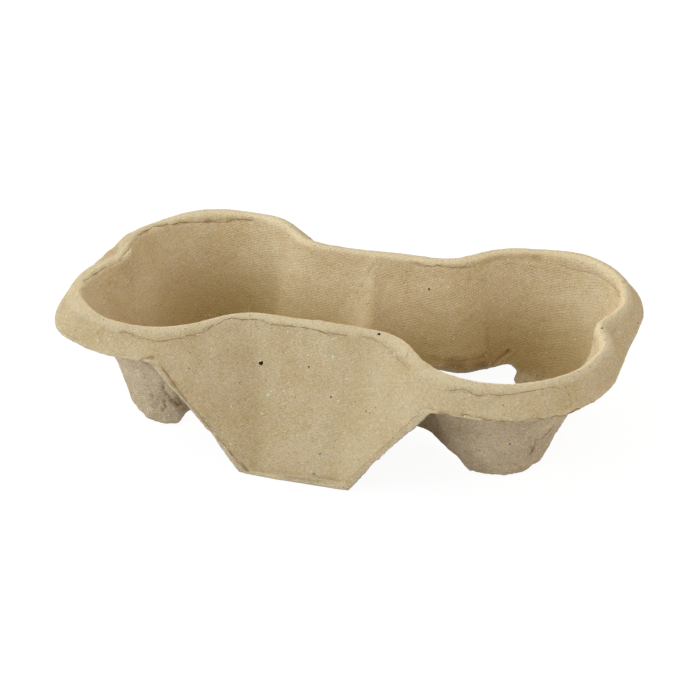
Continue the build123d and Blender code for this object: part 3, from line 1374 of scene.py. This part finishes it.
    def speckled(
        self,
        sheet: NodeSheet,
        colour: bpy.types.NodeSocket,
        place: bpy.types.NodeSocket,
        grain: bpy.types.NodeSocket,
        marks: dict[Mark, bpy.types.NodeSocket],
    ) -> bpy.types.NodeSocket:
        """Shade the colour with the grain and the dyed fibres, and paint the faces into the pockets lighter
        and the outer faces darker, as painted light and shade.

        Args:
            sheet: The material's nodes.
            colour: The colour to shade.
            place: Where each point is on the piece.
            grain: Height of the grain.
            marks: The sheet's marks.

        Returns:
            The finished colour.
        """
        low, high = self.grain_range
        shade = sheet.add(
            "ShaderNodeMapRange",
            {
                "From Min": low,
                "From Max": high,
                "To Min": 1.0 - self.grain_depth,
                "To Max": 1.0 + self.grain_depth,
            },
            {"Value": grain},
        )
        grainy = sheet.add(
            "ShaderNodeVectorMath", {"operation": "SCALE"}, {0: colour, "Scale": shade.outputs[0]}
        )
        dyes = sheet.add(
            "ShaderNodeTexNoise",
            {"Scale": 1 / (self.tint_size * MM), "Detail": self.tint_detail},
            {0: place},
        )
        tint = sheet.add(
            "ShaderNodeVectorMath",
            {"operation": "MULTIPLY_ADD", 1: self.tint_depth, 2: self.tint_level},
            {0: dyes.outputs["Color"]},
        )
        tinted = sheet.add(
            "ShaderNodeVectorMath", {"operation": "MULTIPLY"}, {0: grainy.outputs[0], 1: tint.outputs[0]}
        )
        # Painted light and shade, by how far a face turns into a pocket.
        pocket_light_and_shade = sheet.add(
            "ShaderNodeMapRange",
            {"To Min": self.outer_painted_shade, "To Max": self.pocket_painted_light},
            {"Value": marks[Mark.POCKET]},
        )
        return sheet.add(
            "ShaderNodeVectorMath", {"operation": "SCALE"}, {0: tinted.outputs[0], "Scale": pocket_light_and_shade.outputs[0]}
        ).outputs[0]

    def relief(
        self, sheet: NodeSheet, place: bpy.types.NodeSocket, grain: bpy.types.NodeSocket
    ) -> bpy.types.NodeSocket:
        """Grain of the fibres, with the print of the wire form over it.

        Args:
            sheet: The material's nodes.
            place: Where each point is on the piece.
            grain: Height of the grain.

        Returns:
            The shading normal.
        """
        waves = []
        for turn in (self.wire_turn, self.wire_turn - math.pi / 2):
            turned = sheet.add(
                "ShaderNodeMapping", {"vector_type": "POINT", "Rotation": (0.0, turn, 0.0)}, {0: place}
            )
            wave = sheet.add(
                "ShaderNodeTexWave",
                {
                    "Scale": self.wave_run / (self.wire_pitch * MM),
                    "Distortion": self.wire_waver,
                    "Detail": self.wire_detail,
                },
                {0: turned.outputs[0]},
            )
            waves.append(wave.outputs["Fac"])
        faint = sheet.add("ShaderNodeMath", {"operation": "MULTIPLY", 1: self.wire_cross}, {0: waves[1]})
        weave = sheet.add("ShaderNodeMath", {"operation": "ADD"}, {0: waves[0], 1: faint.outputs[0]})
        grained = sheet.add(
            "ShaderNodeBump",
            {"Strength": self.grain_strength, "Distance": self.grain_height * MM},
            {"Height": grain},
        )
        return sheet.add(
            "ShaderNodeBump",
            {"Strength": self.wire_strength, "Distance": self.wire_height * MM},
            {"Height": weave.outputs[0], "Normal": grained.outputs[0]},
        ).outputs[0]


@dataclass(frozen=True)
class Scrap:
    """Matt material of something small that was mixed into the pulp.

    Attributes:
        name: What it is and how it got there.
        colour: Its colour as six hex digits.
        roughness: How matt it is.
        specular: How much it shines.
    """

    name: str
    colour: str
    roughness: float = 0.95
    specular: float = 0.15

    def build(self) -> bpy.types.Material:
        """Make the material, a plain colour without a shine.

        Returns:
            The material.
        """
        material, sheet = new_material(self.name)
        skin = sheet.add(
            "ShaderNodeBsdfPrincipled",
            {
                Socket.COLOUR.value: linear(self.colour),
                Socket.ROUGHNESS.value: self.roughness,
                Socket.SPECULAR.value: self.specular,
            },
        )
        sheet.add("ShaderNodeOutputMaterial", links={"Surface": skin.outputs[0]})
        return material


def mesh_piece(
    name: str, points: list[Vector], faces: list[tuple[int, ...]], scrap: Scrap
) -> bpy.types.Object:
    """Make a piece of one material from points in millimetres.

    Args:
        name: The piece's name.
        points: Its points.
        faces: Its faces, as numbers of points.
        scrap: What it is made of.

    Returns:
        The piece.
    """
    mesh = bpy.data.meshes.new(name)
    mesh.from_pydata([p * MM for p in points], [], faces)
    mesh.update()
    mesh.materials.append(scrap.build())
    return link(bpy.data.objects.new(name, mesh))


class Knob(Enum):
    """Named inputs of the scatter trees."""

    DENSITY = ("Density", "NodeSocketFloat")
    SEED = ("Seed", "NodeSocketInt")
    SHORT = ("Shortest", "NodeSocketFloat")
    LONG = ("Longest", "NodeSocketFloat")
    THICK = ("Thickness", "NodeSocketFloat")
    CURL = ("Curl", "NodeSocketFloat")
    MATERIAL = ("Material", "NodeSocketMaterial")


@dataclass(frozen=True)
class Scatter:
    """Small things strewn over the sheet by Geometry Nodes, sizes in millimetres.

    Attributes:
        name: The piece's name.
        scrap: What the things are made of.
        density: How many lie on a square millimetre.
        seed: Fixed seed.
        short: Smallest length.
        long: Largest length.
        curl: How far they wander from a straight line or a round shape.
    """

    name: str
    scrap: Scrap
    density: float
    seed: int
    short: float
    long: float
    curl: float

    def build(self, sheet: bpy.types.Object) -> bpy.types.Object:
        """Strew the things over the sheet.

        Args:
            sheet: The finished sheet.

        Returns:
            A plain mesh of them all.
        """
        piece = link(bpy.data.objects.new(self.name, sheet.data.copy()))
        tree = self.tree()
        modifier = piece.modifiers.new(self.name, "NODES")
        modifier.node_group = tree
        values = {**self.sizes(), Knob.MATERIAL: self.scrap.build()}
        sockets = [item for item in tree.interface.items_tree if item.in_out == "INPUT"]
        names = {item.name: item.identifier for item in sockets}
        for knob, value in values.items():
            modifier[names[knob.value[0]]] = value
        mesh = plain_mesh(piece)
        for mark in Mark:
            if mark.value in mesh.attributes:
                mesh.attributes.remove(mesh.attributes[mark.value])
        return piece

    def sizes(self) -> dict[Knob, float]:
        """Collect the numbers that the tree's inputs are set to.

        Returns:
            The numbers, with lengths in metres.
        """
        return {
            Knob.DENSITY: self.density / MM**2,
            Knob.SEED: self.seed,
            Knob.SHORT: self.short * MM,
            Knob.LONG: self.long * MM,
            Knob.CURL: self.curl * MM,
        }

    def tree(self) -> bpy.types.NodeTree:
        """Draw the tree: points on the faces, one thing on each, real meshes at the end.

        Returns:
            The tree, with its sizes as named inputs.
        """
        tree = bpy.data.node_groups.new(self.name, "GeometryNodeTree")
        tree.interface.new_socket("Geometry", in_out="INPUT", socket_type="NodeSocketGeometry")
        used = (*self.sizes(), Knob.MATERIAL)
        for knob in used:
            tree.interface.new_socket(knob.value[0], in_out="INPUT", socket_type=knob.value[1])
        tree.interface.new_socket("Geometry", in_out="OUTPUT", socket_type="NodeSocketGeometry")
        sheet = NodeSheet(tree)
        given = sheet.add("NodeGroupInput").outputs
        knobs = {knob: given[knob.value[0]] for knob in used}
        strewn = sheet.add(
            "GeometryNodeDistributePointsOnFaces",
            links={"Mesh": given["Geometry"], "Density": knobs[Knob.DENSITY], "Seed": knobs[Knob.SEED]},
        )
        angle = sheet.add(
            "FunctionNodeRandomValue",
            {"data_type": "FLOAT", RANDOM_MOST: 2 * math.pi},
            {"Seed": knobs[Knob.SEED]},
        )
        spin = sheet.add(
            "FunctionNodeAxisAngleToRotation", {"Axis": (0, 0, 1)}, {"Angle": angle.outputs[RANDOM_RESULT]}
        )
        turned = sheet.add(
            "FunctionNodeRotateRotation",
            {"rotation_space": "LOCAL"},
            {"Rotation": strewn.outputs["Rotation"], "Rotate By": spin.outputs[0]},
        )
        size = sheet.add(
            "FunctionNodeRandomValue",
            {"data_type": "FLOAT"},
            {RANDOM_LEAST: knobs[Knob.SHORT], RANDOM_MOST: knobs[Knob.LONG], "Seed": knobs[Knob.SEED]},
        )
        put = sheet.add(
            "GeometryNodeInstanceOnPoints",
            links={
                "Points": strewn.outputs["Points"],
                "Instance": self.thing(sheet),
                "Rotation": turned.outputs[0],
                "Scale": size.outputs[RANDOM_RESULT],
            },
        )
        real = sheet.add("GeometryNodeRealizeInstances", links={"Geometry": put.outputs[0]})
        shaped = self.shape(sheet, real.outputs[0], given["Geometry"], knobs)
        dressed = sheet.add(
            "GeometryNodeSetMaterial", links={"Geometry": shaped, "Material": knobs[Knob.MATERIAL]}
        )
        sheet.add("NodeGroupOutput", links={"Geometry": dressed.outputs[0]})
        return tree

    def thing(self, sheet: NodeSheet) -> bpy.types.NodeSocket:
        """The thing to strew, about one unit long."""
        raise NotImplementedError

    def shape(
        self,
        sheet: NodeSheet,
        things: bpy.types.NodeSocket,
        ground: bpy.types.NodeSocket,
        knobs: dict[Knob, bpy.types.NodeSocket],
    ) -> bpy.types.NodeSocket:
        """Give all the strewn things their final shape.

        Args:
            sheet: The tree's nodes.
            things: The strewn things.
            ground: The sheet that they lie on.
            knobs: The tree's inputs.

        Returns:
            The shaped things.
        """
        raise NotImplementedError

    def drift(
        self, sheet: NodeSheet, run: float, knobs: dict[Knob, bpy.types.NodeSocket]
    ) -> bpy.types.NodeSocket:
        """Make a random offset that changes smoothly from place to place.

        Args:
            sheet: The tree's nodes.
            run: Distance over which it changes, in millimetres.
            knobs: The tree's inputs.

        Returns:
            The offset.
        """
        noise = sheet.add("ShaderNodeTexNoise", {"Scale": 1 / (run * MM), "Detail": 1.0})
        centred = sheet.add(
            "ShaderNodeVectorMath", {"operation": "SUBTRACT", 1: NOISE_MIDDLE}, {0: noise.outputs["Color"]}
        )
        return sheet.add(
            "ShaderNodeVectorMath",
            {"operation": "SCALE"},
            {0: centred.outputs[0], "Scale": knobs[Knob.CURL]},
        ).outputs[0]


@dataclass(frozen=True)
class Fibres(Scatter):
    """Curled paper fibres that lie in the surface.

    Attributes:
        thick: Half the thickness of a fibre, in millimetres.
        corners: How many points a fibre bends at, its ends with them.
        sides: How many sides its thread has.
        drift_run: How far apart its curls are, in millimetres.
    """

    thick: float = 0.05
    corners: int = 6
    sides: int = 3
    drift_run: float = 1.1

    def sizes(self) -> dict[Knob, float]:
        """Add the thickness to the numbers of the tree's inputs."""
        return {**super().sizes(), Knob.THICK: self.thick * MM}

    def thing(self, sheet: NodeSheet) -> bpy.types.NodeSocket:
        """A straight line, one unit long."""
        line = sheet.add("GeometryNodeCurvePrimitiveLine", {"Start": (-0.5, 0, 0), "End": (0.5, 0, 0)})
        return sheet.add(
            "GeometryNodeResampleCurve", {"Count": self.corners}, {"Curve": line.outputs[0]}
        ).outputs[0]

    def shape(
        self,
        sheet: NodeSheet,
        things: bpy.types.NodeSocket,
        ground: bpy.types.NodeSocket,
        knobs: dict[Knob, bpy.types.NodeSocket],
    ) -> bpy.types.NodeSocket:
        """Curl the lines, lay them on the sheet and give them thickness.

        Args:
            sheet: The tree's nodes.
            things: The strewn lines.
            ground: The sheet that they lie on.
            knobs: The tree's inputs.

        Returns:
            The fibres.
        """
        curl = self.drift(sheet, self.drift_run, knobs)
        curled = sheet.add("GeometryNodeSetPosition", links={"Geometry": things, "Offset": curl})
        nearest = sheet.add("GeometryNodeProximity", {"target_element": "FACES"}, {"Geometry": ground})
        laid = sheet.add(
            "GeometryNodeSetPosition",
            links={"Geometry": curled.outputs[0], "Position": nearest.outputs["Position"]},
        )
        ring = sheet.add(
            "GeometryNodeCurvePrimitiveCircle", {"Resolution": self.sides}, {"Radius": knobs[Knob.THICK]}
        )
        return sheet.add(
            "GeometryNodeCurveToMesh", links={"Curve": laid.outputs[0], "Profile Curve": ring.outputs[0]}
        ).outputs[0]


@dataclass(frozen=True)
class Specks(Scatter):
    """Flat grains of dirt, bark or unbeaten paper.

    Attributes:
        flatness: Length, width and height of a grain, as shares of its length.
        drift_run: Size of its unevenness, in millimetres.
    """

    flatness: tuple[float, float, float] = (1.0, 0.62, 0.3)
    drift_run: float = 0.3

    def thing(self, sheet: NodeSheet) -> bpy.types.NodeSocket:
        """A flattened ball one unit across."""
        ball = sheet.add("GeometryNodeMeshIcoSphere", {"Radius": 0.5, "Subdivisions": 1})
        return sheet.add(
            "GeometryNodeTransform", {"Scale": self.flatness}, {"Geometry": ball.outputs[0]}
        ).outputs[0]

    def shape(
        self,
        sheet: NodeSheet,
        things: bpy.types.NodeSocket,
        ground: bpy.types.NodeSocket,
        knobs: dict[Knob, bpy.types.NodeSocket],
    ) -> bpy.types.NodeSocket:
        """Make the grains uneven.

        Args:
            sheet: The tree's nodes.
            things: The strewn grains.
            ground: The sheet, which the grains already lie on; not used.
            knobs: The tree's inputs.

        Returns:
            The uneven grains.
        """
        bumps = self.drift(sheet, self.drift_run, knobs)
        return sheet.add("GeometryNodeSetPosition", links={"Geometry": things, "Offset": bumps}).outputs[0]


@dataclass(frozen=True)
class Fleck:
    """One larger scrap where the picture shows it.

    Attributes:
        name: What and where it is.
        spot: Point of the picture that it lies at.
        width: Its width, in millimetres.
        scrap: What it is made of.
    """

    name: str
    spot: tuple[float, float]
    width: float
    scrap: Scrap


@dataclass(frozen=True)
class CrackLines:
    """Fine dark threads in the bottoms of the creases, put there as painted shade.

    Attributes:
        name: The piece's name.
        scrap: Pulp in its own shade, which shows as a fine brown line.
        pace: Points of the picture from one step to the next.
        wander: How many points of the picture a line strays to each side.
        stray: The random field that it strays by; each crease has its own seed from there on.
        second_field: How far off the same field is read for the other direction.
        longest_step: A longer step, in millimetres, means that the line passed out of sight.
        fewest: Shorter runs are left out.
        swelling: The random field of the line's width, with its seed counted in the same way.
        level: Usual width, as a share of the crease's own.
        width_range: Narrowest and widest share.
        taper_start: Share of the width at each end.
        taper_steps: Steps from there to the full width.
        waves: How many waves each of the two fields has.
        rise: How high the line stands on the sheet, in millimetres.
        sink: How deep it goes into the sheet, in millimetres.
    """

    name: str = "crease_shade_threads"
    scrap: Scrap = Scrap("shaded_pulp_in_a_crease", "8B7048")
    pace: float = 1.1
    wander: float = 0.45
    stray: Relief = Relief(size=5.0, seed=60)
    second_field: float = 50.0
    longest_step: float = 2.5
    fewest: int = 4
    swelling: Relief = Relief(size=2.2, seed=90, depth=0.4)
    level: float = 0.95
    width_range: tuple[float, float] = (0.35, 1.6)
    taper_start: float = 0.25
    taper_steps: float = 4.0
    waves: int = 12
    rise: float = 0.03
    sink: float = 0.12

    def build(self, creases: tuple[Crease, ...], finder: SurfaceFinder) -> bpy.types.Object:
        """Trace each crease over the sheet as a thin, uneven thread.

        Args:
            creases: The creases.
            finder: The finished sheet's surface.

        Returns:
            One mesh of all the threads.
        """
        points: list[Vector] = []
        faces: list[tuple[int, ...]] = []
        for number, crease in enumerate(creases):
            if crease.crack:
                for strand in self.strands(crease, number, finder):
                    self.thread(strand, crease.crack, number, points, faces)
        return mesh_piece(self.name, points, faces, self.scrap)

    def strands(
        self, crease: Crease, number: int, finder: SurfaceFinder
    ) -> list[list[tuple[Vector, Vector]]]:
        """Runs of surface points along a crease, broken where it passes out of sight.

        Args:
            crease: The crease.
            number: Its place in the list, which its seed is counted from.
            finder: The finished sheet's surface.

        Returns:
            Runs of places and normals.
        """
        side = RandomField(self.stray.size, self.stray.seed + number, self.waves)
        spots = []
        for (ax, ay), (bx, by) in zip(crease.path[:-1], crease.path[1:]):
            steps = max(1, round(math.hypot(bx - ax, by - ay) / self.pace))
            spots += [(ax + (bx - ax) * i / steps, ay + (by - ay) * i / steps) for i in range(steps)]
        spots.append(crease.path[-1])
        flat = np.array([(x, y, 0.0) for x, y in spots])
        moves = self.wander * np.stack([side(flat), side(flat + self.second_field)], axis=1)
        runs: list[list[tuple[Vector, Vector]]] = [[]]
        for (x, y), (dx, dy) in zip(spots, moves):
            found = finder.hit(x + dx, y + dy)
            if found is None or (runs[-1] and (found[0] - runs[-1][-1][0]).length > self.longest_step):
                runs.append([])
            if found is not None:
                runs[-1].append(found)
        return [run for run in runs if len(run) >= self.fewest]

    def thread(
        self,
        strand: list[tuple[Vector, Vector]],
        radius: float,
        number: int,
        points: list[Vector],
        faces: list[tuple[int, ...]],
    ) -> None:
        """Add one flat thread, tapered at both ends, along a run of surface points.

        Args:
            strand: Places and normals along the run.
            radius: Half its usual width, in millimetres.
            number: The crease's place in the list.
            points: The mesh's points, which the thread's are added to.
            faces: The mesh's faces, which the thread's are added to.
        """
        start = len(points)
        swelling = RandomField(self.swelling.size, self.swelling.seed + number, self.waves)
        width = self.level + self.swelling.depth * swelling(np.array([tuple(place) for place, _ in strand]))
        share = np.clip(width, *self.width_range)
        last = len(strand) - 1
        for i, (place, normal) in enumerate(strand):
            way = (strand[min(i + 1, last)][0] - strand[max(i - 1, 0)][0]).normalized()
            side = normal.cross(way).normalized()
            taper = min(1.0, self.taper_start + min(i, last - i) / self.taper_steps)
            reach = radius * taper * float(share[i])
            points += [
                place + side * reach,
                place + normal * self.rise,
                place - side * reach,
                place - normal * self.sink,
            ]
        for i in range(last):
            a = start + 4 * i
            for j in range(4):
                k = (j + 1) % 4
                faces.append((a + j, a + 4 + j, a + 4 + k, a + k))
        faces.append((start, start + 1, start + 2, start + 3))
        end = start + 4 * last
        faces.append((end + 3, end + 2, end + 1, end))


@dataclass(frozen=True)
class FleckPatch:
    """All larger scraps of one kind, pressed flat into the sheet. Lengths are in millimetres.

    Attributes:
        scrap: What the scraps are made of.
        flecks: The scraps.
        rim_points: Corners of a scrap's outline.
        stretch: Least and most width across the longer way, as a share.
        rim: Nearest and farthest corner, as a share of half the width.
        rise: Height of the middle above the sheet.
        rise_share: What the middle gains in height for each millimetre of width.
        sink: Depth of the middle below the sheet.
        seed_stride: What one point further right in the picture adds to a scrap's seed.
    """

    scrap: Scrap
    flecks: tuple[Fleck, ...]
    rim_points: int = 11
    stretch: tuple[float, float] = (0.75, 1.0)
    rim: tuple[float, float] = (0.72, 1.12)
    rise: float = 0.05
    rise_share: float = 0.05
    sink: float = 0.2
    seed_stride: int = 7

    def build(self, finder: SurfaceFinder) -> bpy.types.Object:
        """Lay each scrap on the sheet as an uneven lens.

        Args:
            finder: The finished sheet's surface.

        Returns:
            One mesh of the scraps.
        """
        points: list[Vector] = []
        faces: list[tuple[int, ...]] = []
        for fleck in self.flecks:
            found = finder.hit(*fleck.spot)
            if found is None:
                LOG.warning("%s misses the sheet", fleck.name)
                continue
            place, normal = found
            across = normal.orthogonal().normalized()
            along = normal.cross(across)
            rng = np.random.default_rng(int(fleck.spot[0] * self.seed_stride + fleck.spot[1]))
            stretch = rng.uniform(*self.stretch)
            start = len(points)
            for i in range(self.rim_points):
                turn = 2 * math.pi * i / self.rim_points
                reach = fleck.width / 2 * rng.uniform(*self.rim)
                away = across * (math.cos(turn) * reach) + along * (math.sin(turn) * reach * stretch)
                points.append(finder.drop(place + away))
            rise = self.rise + self.rise_share * fleck.width
            points += [place + normal * rise, place - normal * self.sink]
            top = start + self.rim_points
            for i in range(self.rim_points):
                j = start + (i + 1) % self.rim_points
                faces += [(start + i, j, top), (j, start + i, top + 1)]
        return mesh_piece(self.scrap.name, points, faces, self.scrap)


# Scraps of old print and dyed paper, as small sharp dots of colour, and bark as dull brown ones.
CHAR = Scrap("black_printed_scrap", "1E1B18")
BARK = Scrap("brown_bark_grain", "6B4F2C")
TEAL = Scrap("teal_dyed_scrap", "4E8F84")
GREEN = Scrap("green_dyed_scrap", "5C9A6A")
PALE = Scrap("pale_dyed_scrap", "B9CDB0")
MAGENTA = Scrap("magenta_dyed_scrap", "8E4A6E")
SCRAPS = (CHAR, BARK, TEAL, GREEN, PALE, MAGENTA)

# Single scraps that are large enough to place one by one.
FLECKS = (
    Fleck("apron_black_spot", (261, 363), 1.9, CHAR),
    Fleck("crest_black_mark", (379, 334), 1.3, CHAR),
    Fleck("right_wall_black_grain", (602, 328), 1.0, CHAR),
    Fleck("right_pocket_brown_spot", (429, 289), 1.1, BARK),
    Fleck("right_pocket_brown_grain", (404, 283), 0.6, BARK),
    Fleck("apron_brown_grain_left", (331, 397), 0.9, BARK),
    Fleck("apron_brown_grain_low", (366, 411), 0.8, BARK),
    Fleck("apron_brown_grain_right", (370, 413), 0.8, BARK),
    Fleck("apron_brown_grain_high", (309, 367), 0.9, BARK),
    Fleck("right_end_rust_spot", (638, 323), 1.0, BARK),
    Fleck("apron_teal_spot", (320, 454), 1.0, TEAL),
    Fleck("apron_teal_smear", (314, 474), 1.3, TEAL),
    Fleck("front_rim_teal_dot", (407, 355), 0.7, TEAL),
    Fleck("left_end_teal_dot", (57, 320), 0.6, TEAL),
    Fleck("left_skirt_green_spot", (112, 333), 0.9, GREEN),
    Fleck("left_skirt_green_dot", (87, 315), 0.6, GREEN),
    Fleck("left_pocket_green_dot", (220, 314), 0.8, GREEN),
    Fleck("apron_pale_blue_spot", (333, 357), 1.2, PALE),
    Fleck("right_pocket_lime_dot", (546, 353), 0.7, PALE),
    Fleck("apron_pale_spot", (268, 395), 1.4, PALE),
    Fleck("right_foot_magenta_dot", (510, 444), 0.9, MAGENTA),
)

# Bleached and kraft fibres show as pale and brown threads, grit and bark as dull grains.
SCATTERS = (
    Fibres(
        "pale_fibres",
        Scrap("bleached_paper_fibre", "E0D2B0"),
        density=0.01, seed=3, short=1.2, long=3.2, thick=0.06, curl=1.6,
    ),
    Fibres(
        "brown_fibres",
        Scrap("kraft_paper_fibre", "A08456"),
        density=0.012, seed=4, short=1.0, long=2.8, thick=0.05, curl=1.4,
    ),
    Specks(
        "dark_specks",
        Scrap("dark_grit", "66533A"),
        density=0.005, seed=5, short=0.2, long=0.55, curl=0.12,
    ),
    Specks(
        "brown_specks",
        Scrap("bark_dust", "8A6E43"),
        density=0.018, seed=6, short=0.2, long=0.7, curl=0.15,
    ),
    Specks(
        "pale_specks",
        Scrap("unbeaten_paper_grain", "E3D6B8"),
        density=0.016, seed=7, short=0.25, long=0.9, curl=0.2,
    ),
)


@dataclass(frozen=True)
class Lamp:
    """One square soft lamp that faces the carrier.

    Attributes:
        name: Where it stands.
        place: Its place, in metres.
        size: Length of its side, in metres.
        power: Its power, in watts.
        tint: Its colour, as linear red, green and blue.
    """

    name: str
    place: tuple[float, float, float]
    size: float
    power: float
    tint: tuple[float, float, float]

    def build(self) -> None:
        """Hang the lamp."""
        data = bpy.data.lights.new(self.name, "AREA")
        data.size = self.size
        data.energy = self.power
        data.color = self.tint
        lamp = link(bpy.data.objects.new(self.name, data))
        spot = Vector(self.place)
        lamp.matrix_world = Matrix.Translation(spot) @ spot.to_track_quat("Z", "Y").to_matrix().to_4x4()


@dataclass(frozen=True)
class Studio:
    """White seamless paper under a soft sky of light, with the stronger lamps on the left.

    Attributes:
        floor_size: Side of the paper, in metres.
        floor_drop: How far the paper lies below the carrier, in millimetres.
        paper_white: How much light the paper throws back, from 0 to 1.
        glow_share: How much of the paper's look is plain white, and not its shadow.
        glow_level: Brightness of that white.
        sky_level: Brightness of the sky.
        sky_tint: Colour of the sky, as linear red, green and blue.
        lamps: The lamps.
    """

    floor_size: float = 6.0
    floor_drop: float = 0.6
    paper_white: float = 0.85
    glow_share: float = 0.88
    glow_level: float = 1.06
    sky_level: float = 0.66
    sky_tint: tuple[float, float, float] = (1.0, 0.98, 0.94)
    lamps: tuple[Lamp, ...] = (
        Lamp("front_left_softbox", place=(-0.95, -0.85, 0.8), size=1.2, power=13.5, tint=(0.78, 0.9, 1.0)),
        Lamp("back_left_softbox", place=(-0.9, 0.9, 0.7), size=1.2, power=8.0, tint=(1.0, 0.95, 0.85)),
        Lamp("right_fill", place=(1.2, -0.1, 0.5), size=1.2, power=4.0, tint=(1.0, 1.0, 1.0)),
    )

    def build(self) -> None:
        """Make the floor, the world and the lamps."""
        mesh = bpy.data.meshes.new("table_top")
        half = self.floor_size / 2
        corners = ((-half, -half), (half, -half), (half, half), (-half, half))
        mesh.from_pydata([(x, y, -self.floor_drop * MM) for x, y in corners], [], [(0, 1, 2, 3)])
        floor = link(bpy.data.objects.new("table_top", mesh))
        mesh.materials.append(self.paper())
        self.sky()
        for lamp in self.lamps:
            lamp.build()

    def sky(self) -> None:
        """Light the carrier evenly, and show plain white behind it."""
        world = bpy.data.worlds.new("studio")
        bpy.context.scene.world = world
        world.use_nodes = True
        sheet = NodeSheet(world.node_tree)
        tint = (*self.sky_tint, 1.0)
        soft = sheet.add("ShaderNodeBackground", {"Color": tint, "Strength": self.sky_level})
        white = sheet.add("ShaderNodeBackground", {"Color": WHITE, "Strength": 1.0})
        path = sheet.add("ShaderNodeLightPath").outputs["Is Camera Ray"]
        seen = sheet.add("ShaderNodeMixShader", links={0: path, 1: soft.outputs[0], 2: white.outputs[0]})
        sheet.add("ShaderNodeOutputWorld", links={"Surface": seen.outputs[0]})

    def paper(self) -> bpy.types.Material:
        """Make white seamless paper that stays white to the camera but keeps the shadow.

        Returns:
            The material.
        """
        material, sheet = new_material("white_seamless_paper")
        path = sheet.add("ShaderNodeLightPath").outputs["Is Camera Ray"]
        grey = (self.paper_white, self.paper_white, self.paper_white, 1.0)
        matt = sheet.add("ShaderNodeBsdfDiffuse", {"Color": grey})
        glow = sheet.add("ShaderNodeEmission", {"Color": WHITE, "Strength": self.glow_level})
        shown = sheet.add("ShaderNodeMath", {"operation": "MULTIPLY", 1: self.glow_share}, {0: path})
        mixed = sheet.add(
            "ShaderNodeMixShader", links={0: shown.outputs[0], 1: matt.outputs[0], 2: glow.outputs[0]}
        )
        sheet.add("ShaderNodeOutputMaterial", links={"Surface": mixed.outputs[0]})
        return material


def main() -> None:
    """Build the carrier, dress it and report each piece."""
    logging.basicConfig(level=logging.INFO, format="%(name)s: %(message)s")
    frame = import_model()
    bpy.context.scene.view_settings.view_transform = "Standard"
    camera = PhotoCamera()
    camera.build()
    Studio().build()
    sheet = PulpSheet().build(frame["nodes"]["cup_carrier"], camera)
    sheet.data.materials.clear()
    finder = SurfaceFinder(sheet.data, camera)
    pieces = [scatter.build(sheet) for scatter in SCATTERS]
    sheet.data.materials.append(MouldedPulp().build())
    pieces.append(CrackLines().build(CREASES, finder))
    for scrap in SCRAPS:
        flecks = tuple(fleck for fleck in FLECKS if fleck.scrap == scrap)
        pieces.append(FleckPatch(scrap, flecks).build(finder))
    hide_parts("cup_carrier")
    for piece in [sheet, *pieces]:
        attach(piece, "root")
        LOG.info("%s: %d faces", piece.name, len(piece.data.polygons))


if __name__ == "__main__":
    main()
